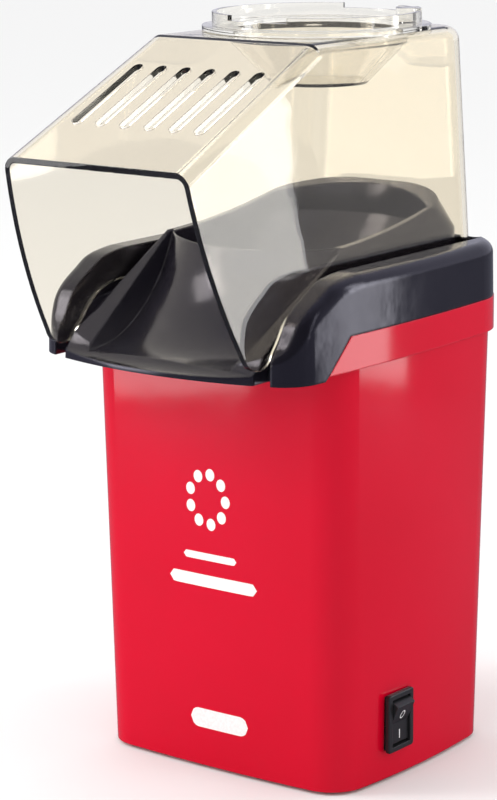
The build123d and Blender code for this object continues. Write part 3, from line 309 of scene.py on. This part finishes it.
# Each bar: its middle across and up the wall, its length and its height.
BARS = ((-0.0005, 0.0778, 0.0230, 0.0026), (0.0005, 0.0690, 0.0380, 0.0044),
        (0.0020, 0.0185, 0.0250, 0.0070))
BAR_STEPS = 24
BAR_TIP = 0.00005


def node_tree_with(name, sizes):
    """A Geometry Nodes tree with a named input for each size."""
    tree = bpy.data.node_groups.new(name, "GeometryNodeTree")
    tree.interface.new_socket("Geometry", in_out="OUTPUT", socket_type="NodeSocketGeometry")
    sockets = {}
    for label, value in sizes.items():
        kind = "NodeSocketInt" if isinstance(value, int) else "NodeSocketFloat"
        socket = tree.interface.new_socket(label, in_out="INPUT", socket_type=kind)
        socket.default_value = value
        sockets[label] = socket.identifier
    return tree, tree.nodes.new("NodeGroupInput"), tree.nodes.new("NodeGroupOutput"), sockets


def made_mesh(name, tree, sockets, sizes):
    """Run a tree on an empty object and keep the result as a plain mesh."""
    holder = mesh_piece(name + "_holder", [], [])
    modifier = holder.modifiers.new("maker", "NODES")
    modifier.node_group = tree
    for label, value in sizes.items():
        modifier[sockets[label]] = value
    seen = holder.evaluated_get(bpy.context.evaluated_depsgraph_get())
    mesh = bpy.data.meshes.new_from_object(seen)
    bpy.data.objects.remove(holder)
    mesh.name = name
    piece = bpy.data.objects.new(name, mesh)
    bpy.context.scene.collection.objects.link(piece)
    return piece


def surface_of(node):
    """A CAD piece's faces, ready to be met by a straight line."""
    mesh = nodes[node].data
    return BVHTree.FromPolygons([v.co for v in mesh.vertices],
                                [tuple(p.vertices) for p in mesh.polygons])


print_white, print_shader = principled("white_pad_print", (0.86, 0.85, 0.84), 0.35)
print_tree = print_white.node_tree
print_drift = spread(print_tree, noise(print_tree, 900, 3), 0.3, 0.7, 0, 1)
link(print_tree, two_tone(print_tree, print_drift, (0.88, 0.87, 0.86), (0.78, 0.74, 0.73)),
     print_shader.inputs["Base Color"])
link(print_tree, spread(print_tree, noise(print_tree, 400, 4), 0.3, 0.7, 0.28, 0.5),
     print_shader.inputs["Roughness"])
relief(print_tree, print_shader, noise(print_tree, 2500, 2), 0.00002, 0.6)

ring_sizes = {"Ring radius": RING_RADIUS, "Dot radius": DOT_RADIUS, "Depth": PRINT_DEPTH,
              "Dots": DOT_COUNT}
tree, given, result, sockets = node_tree_with("ring_of_dots", ring_sizes)
ring = tree.nodes.new("GeometryNodeMeshCircle")
dot = tree.nodes.new("GeometryNodeMeshCylinder")
dot.inputs["Vertices"].default_value = DOT_SIDES
spots = tree.nodes.new("GeometryNodeInstanceOnPoints")
real = tree.nodes.new("GeometryNodeRealizeInstances")
painted = tree.nodes.new("GeometryNodeSetMaterial")
painted.inputs["Material"].default_value = print_white
link(tree, given.outputs["Ring radius"], ring.inputs["Radius"])
link(tree, given.outputs["Dots"], ring.inputs["Vertices"])
link(tree, given.outputs["Dot radius"], dot.inputs["Radius"])
link(tree, given.outputs["Depth"], dot.inputs["Depth"])
link(tree, ring.outputs["Mesh"], spots.inputs["Points"])
link(tree, dot.outputs["Mesh"], spots.inputs["Instance"])
link(tree, spots.outputs["Instances"], real.inputs["Geometry"])
link(tree, real.outputs["Geometry"], painted.inputs["Geometry"])
link(tree, painted.outputs["Geometry"], result.inputs["Geometry"])
flat_ring = made_mesh("front_print", tree, sockets, ring_sizes)

housing_faces = surface_of("housing")


def front_y(x, z):
    """Outer face of the front wall at one place."""
    hit = housing_faces.ray_cast(Vector((x, -0.2, z)), Vector((0, 1, 0)))[0]
    return hit.y


verts = []
faces = [tuple(p.vertices) for p in flat_ring.data.polygons]
for v in flat_ring.data.vertices:
    x = RING_CENTRE[0] + v.co.x
    z = RING_CENTRE[1] + v.co.y * RING_TALLNESS
    verts.append((x, front_y(x, z) - PRINT_STAND if v.co.z > 0 else front_y(x, z) + PRINT_DEPTH, z))
bpy.data.objects.remove(flat_ring)
for centre_x, centre_z, long, high in BARS:
    first = len(verts)
    rows = []
    for step in range(BAR_STEPS + 1):
        x = -long / 2 + long * step / BAR_STEPS
        from_end = max(0.0, abs(x) - (long / 2 - high / 2)) / (high / 2)
        half = high / 2 * (1 - min(1.0, from_end) ** 2) ** 0.5
        rows.append((centre_x + x, max(half, BAR_TIP)))
    for x, half in rows:
        for z in (centre_z - half, centre_z + half):
            verts.append((x, front_y(x, z) - PRINT_STAND, z))
            verts.append((x, front_y(x, z) + PRINT_DEPTH, z))
    for step in range(BAR_STEPS):
        a = first + 4 * step
        b = a + 4
        faces += [(a, b, b + 2, a + 2), (a + 1, a + 3, b + 3, b + 1),
                  (a, a + 1, b + 1, b), (a + 2, b + 2, b + 3, a + 3)]
    last = first + 4 * BAR_STEPS
    faces += [(first, first + 2, first + 3, first + 1), (last, last + 1, last + 3, last + 2)]
front_print = mesh_piece("front_print", verts, faces)
front_print.data.materials.append(print_white)
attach(front_print, "base")

# ---------------------------------------------------------------- top cover
# The cover is a second moulding, in gloss black ABS. It carries the round funnel over the
# popping chamber, the chute that spreads to the lip, and the groove that the hood stands in.
gloss_black = moulded("gloss_black_abs", (0.0060, 0.0056, 0.0090), (0.0085, 0.0078, 0.0120),
                      gloss=(0.10, 0.18), waviness=0.00015, grain_scale=60, edge=0.0011,
                      worn=(0.05, 0.05, 0.06))
black_shader = gloss_black.node_tree.nodes["Principled BSDF"]
# The black's reflections are tinted lavender on its own shader: a painted reflection colour,
# standing in for the bluish light that the gloss reflects.
black_shader.inputs["Specular Tint"].default_value = (0.84, 0.82, 1.0, 1)
finish_node("top_cover", gloss_black)

# ---------------------------------------------------------------- hood
# The hood is a 2 mm shell in clear polycarbonate with a light amber tint. It slides over the
# tower of the cover, and its mouth is left open at the front. Its edges look darker, because
# they are seen through a greater depth of plastic.


def clear_plastic(name, colour, haze, edge):
    """Clear moulded plastic that lets lamps through."""
    mat, shader = principled(name, colour, haze)
    tree = mat.node_tree
    shader.inputs["Transmission Weight"].default_value = 1.0
    shader.inputs["IOR"].default_value = 1.5
    link(tree, spread(tree, noise(tree, 45, 5, 0.6), 0.4, 0.75, haze, haze + 0.05),
         shader.inputs["Roughness"])
    relief(tree, shader, noise(tree, 38, 2), 0.00012, 0.6, edge)
    passing = tree.nodes.new("ShaderNodeBsdfTransparent")
    passing.inputs["Color"].default_value = (*[c ** 0.5 for c in colour], 1)
    path = tree.nodes.new("ShaderNodeLightPath")
    show_either(tree, path.outputs["Is Shadow Ray"], shader.outputs["BSDF"],
                passing.outputs["BSDF"], "Material Output")
    return mat


finish_node("hood", clear_plastic("amber_polycarbonate", (0.955, 0.905, 0.80),
                                  haze=0.0, edge=0.0004))

# ---------------------------------------------------------------- measuring cup
# The cup is moulded in the same polycarbonate without the tint. It doubles as the lid: its
# flange rests on the hood, and its rim has finger notches and a thumb lug.
finish_node("measuring_cup", clear_plastic("clear_polycarbonate", (0.955, 0.94, 0.905),
                                           haze=0.0, edge=0.0003))

# ---------------------------------------------------------------- rocker switch
# The mains switch snaps into the side wall. Its bezel and rocker are satin black nylon, and
# the rocker has the usual ring and bar marks in white.
satin_black = moulded("satin_black_nylon", (0.012, 0.012, 0.014), (0.018, 0.018, 0.020),
                      gloss=(0.26, 0.40), waviness=0.00003, grain_scale=1800, edge=0.0004,
                      worn=(0.07, 0.07, 0.07))
finish_node("switch_body", satin_black)
finish_node("switch_rocker", satin_black)
MARK_STAND = 0.00005
MARK_DEPTH = 0.0003
RING_MARK_INNER = 0.0012
RING_MARK_OUTER = 0.0016
RING_MARK_NARROWNESS = 0.75
RING_MARK_STEPS = 32
RING_MARK_RISE = 0.0024
BAR_MARK_HALF = 0.00022
BAR_MARK_DROP = 0.0048
# The bar mark's rows, up and down from its middle.
BAR_MARK_LOW = 0.0016
BAR_MARK_STEP = 0.0008
BAR_MARK_ROWS = 5
low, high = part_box("switch_rocker")
rocker_faces = surface_of("switch_rocker")
centre_y = (low[1] + high[1]) / 2
centre_z = (low[2] + high[2]) / 2
ring_z = centre_z + RING_MARK_RISE
bar_z = centre_z - BAR_MARK_DROP


def mark_band(points_in, points_out, closed):
    """A raised band between two outlines given as (y, z), laid on the rocker's face."""
    verts = []
    count = len(points_in)
    for outline in (points_in, points_out):
        for y, z in outline:
            x = rocker_faces.ray_cast(Vector((0.2, y, z)), Vector((-1, 0, 0)))[0].x
            verts += [(x + MARK_STAND, y, z), (x - MARK_DEPTH, y, z)]
    faces = []
    for i in range(count if closed else count - 1):
        j = (i + 1) % count
        a, b, c, d = 2 * i, 2 * j, 2 * (count + i), 2 * (count + j)
        faces += [(a, b, d, c), (a + 1, c + 1, d + 1, b + 1),
                  (a, a + 1, b + 1, b), (c, d, d + 1, c + 1)]
    if not closed:
        for i in (0, count - 1):
            faces.append((2 * i, 2 * i + 1, 2 * (count + i) + 1, 2 * (count + i)))
    return verts, faces


def round_outline(radius):
    """The ring mark's outline as (y, z), at one radius."""
    turns = [2 * pi * k / RING_MARK_STEPS for k in range(RING_MARK_STEPS)]
    return [(centre_y + RING_MARK_NARROWNESS * radius * cos(t), ring_z + radius * sin(t))
            for t in turns]


def bar_side(y):
    """One long side of the bar mark as (y, z)."""
    return [(y, bar_z - BAR_MARK_LOW + BAR_MARK_STEP * k) for k in range(BAR_MARK_ROWS)]


mark_white, mark_shader = principled("white_mark_ink", (0.8, 0.8, 0.8), 0.45)
mark_tree = mark_white.node_tree
link(mark_tree, two_tone(mark_tree, noise(mark_tree, 3000, 2), (0.72, 0.72, 0.72),
                         (0.86, 0.86, 0.86)), mark_shader.inputs["Base Color"])
link(mark_tree, spread(mark_tree, noise(mark_tree, 2000, 3), 0.3, 0.7, 0.35, 0.55),
     mark_shader.inputs["Roughness"])
relief(mark_tree, mark_shader, noise(mark_tree, 5000, 2), 0.00001, 0.5)
marks = {
    "rocker_ring_mark": mark_band(round_outline(RING_MARK_INNER),
                                  round_outline(RING_MARK_OUTER), True),
    "rocker_bar_mark": mark_band(bar_side(centre_y - BAR_MARK_HALF),
                                 bar_side(centre_y + BAR_MARK_HALF), False),
}
for name, (verts, faces) in marks.items():
    mark = mesh_piece(name, verts, faces)
    mark.data.materials.append(mark_white)
    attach(mark, "rocker")

# ---------------------------------------------------------------- base cover, gland, feet and fan
# The base cover, cord gland, fan housing, motor end cap and diode bodies are black with a
# fine spark finish. The feet are pressed rubber plugs, the fan is grey nylon, and a
# silicone ring lies under the chamber's flange.
textured_black = moulded("textured_black_pp", (0.018, 0.018, 0.019), (0.026, 0.026, 0.028),
                         gloss=(0.48, 0.62), waviness=0.00008, grain_scale=1400, edge=0.0004,
                         worn=(0.06, 0.06, 0.06))
for node in ("base_cover", "cord_gland", "fan_housing", "motor_end_cap", "rectifier_diodes"):
    finish_node(node, textured_black)
rubber = moulded("foot_rubber", (0.016, 0.016, 0.016), (0.030, 0.030, 0.029),
                 gloss=(0.68, 0.85), waviness=0.0001, grain_scale=900, edge=0.0005)
for node in ("foot_front_left", "foot_front_right", "foot_rear_left", "foot_rear_right"):
    finish_node(node, rubber)
finish_node("chamber_seal", moulded("silicone_seal", (0.50, 0.48, 0.45), (0.56, 0.54, 0.50),
                                    gloss=(0.5, 0.65), waviness=0.00005, grain_scale=900))
finish_node("fan_impeller", moulded("grey_nylon_fan", (0.075, 0.075, 0.082), (0.10, 0.10, 0.11),
                                    gloss=(0.38, 0.52), waviness=0.00004, grain_scale=1200,
                                    edge=0.0003))

# ---------------------------------------------------------------- metal parts and magnets
# The popping chamber is spun aluminium with turning lines. The shroud, screws, fuse, shaft
# and motor can are plated steel, the bushes and tabs are brass, and the coil is resistance
# wire. The magnets and rotor are dark like sintered ferrite.


def metal(name, first, second, gloss, stretch, scale, depth):
    """Metal with drawn or turned lines: a noise squeezed along one direction."""
    mat, shader = principled(name, first, gloss[0], 1.0)
    tree = mat.node_tree
    place = tree.nodes.new("ShaderNodeTexCoord")
    turned = tree.nodes.new("ShaderNodeMapping")
    turned.inputs["Scale"].default_value = stretch
    lines = tree.nodes.new("ShaderNodeTexNoise")
    lines.inputs["Scale"].default_value = scale
    lines.inputs["Detail"].default_value = 4
    link(tree, place.outputs["Object"], turned.inputs["Vector"])
    link(tree, turned.outputs["Vector"], lines.inputs["Vector"])
    drift = spread(tree, noise(tree, 90, 4), 0.35, 0.65, 0, 1)
    link(tree, two_tone(tree, drift, first, second), shader.inputs["Base Color"])
    link(tree, spread(tree, lines.outputs["Fac"], 0.3, 0.7, *gloss), shader.inputs["Roughness"])
    relief(tree, shader, lines.outputs["Fac"], depth, 0.5, 0.0002)
    return mat


aluminium = metal("spun_aluminium", (0.72, 0.73, 0.74), (0.62, 0.62, 0.63),
                  gloss=(0.22, 0.42), stretch=(1, 1, 30), scale=60, depth=0.00003)
finish_node("popping_chamber", aluminium)
steel = metal("plated_steel", (0.60, 0.60, 0.61), (0.50, 0.49, 0.48),
              gloss=(0.25, 0.45), stretch=(1, 1, 12), scale=150, depth=0.00002)
for node in ("base_screws", "cover_screws", "clamp_screws", "shroud_screws", "motor_screws",
             "heater_shroud", "thermal_fuse", "motor_shaft"):
    finish_node(node, steel)
finish_node("motor_can", metal("zinc_plated_can", (0.66, 0.67, 0.69), (0.56, 0.57, 0.60),
                               gloss=(0.28, 0.46), stretch=(1, 1, 8), scale=120, depth=0.00002))
ferrite = metal("dark_ferrite", (0.075, 0.075, 0.08), (0.05, 0.05, 0.055),
                gloss=(0.55, 0.75), stretch=(1, 1, 1), scale=700, depth=0.00006)
for node in ("motor_magnets", "motor_rotor"):
    finish_node(node, ferrite)
finish_node("heating_coil", metal("oxidised_resistance_wire", (0.33, 0.30, 0.28),
                                  (0.20, 0.18, 0.19), gloss=(0.4, 0.6), stretch=(1, 1, 1),
                                  scale=500, depth=0.00003))
brass = metal("bright_brass", (0.72, 0.53, 0.26), (0.62, 0.44, 0.20),
              gloss=(0.25, 0.42), stretch=(1, 1, 6), scale=200, depth=0.00002)
for node in ("motor_bushes", "switch_terminals"):
    finish_node(node, brass)

# ---------------------------------------------------------------- insulators and board
# The heater hangs on two crossed mica sheets, which are brown and flaky. The thermostat is a
# white steatite cup, and the rectifier board is plain brown phenolic sheet.
mica = moulded("mica_sheet", (0.42, 0.33, 0.22), (0.60, 0.52, 0.40),
               gloss=(0.25, 0.55), waviness=0.00006, grain_scale=500, edge=0.0002)
for node in ("mica_board_a", "mica_board_b"):
    finish_node(node, mica)
finish_node("thermostat", moulded("white_steatite", (0.74, 0.72, 0.68), (0.66, 0.64, 0.60),
                                  gloss=(0.35, 0.5), waviness=0.00003, grain_scale=800))
finish_node("rectifier_board", moulded("brown_phenolic", (0.26, 0.16, 0.07), (0.34, 0.22, 0.10),
                                       gloss=(0.4, 0.55), waviness=0.00003, grain_scale=900))
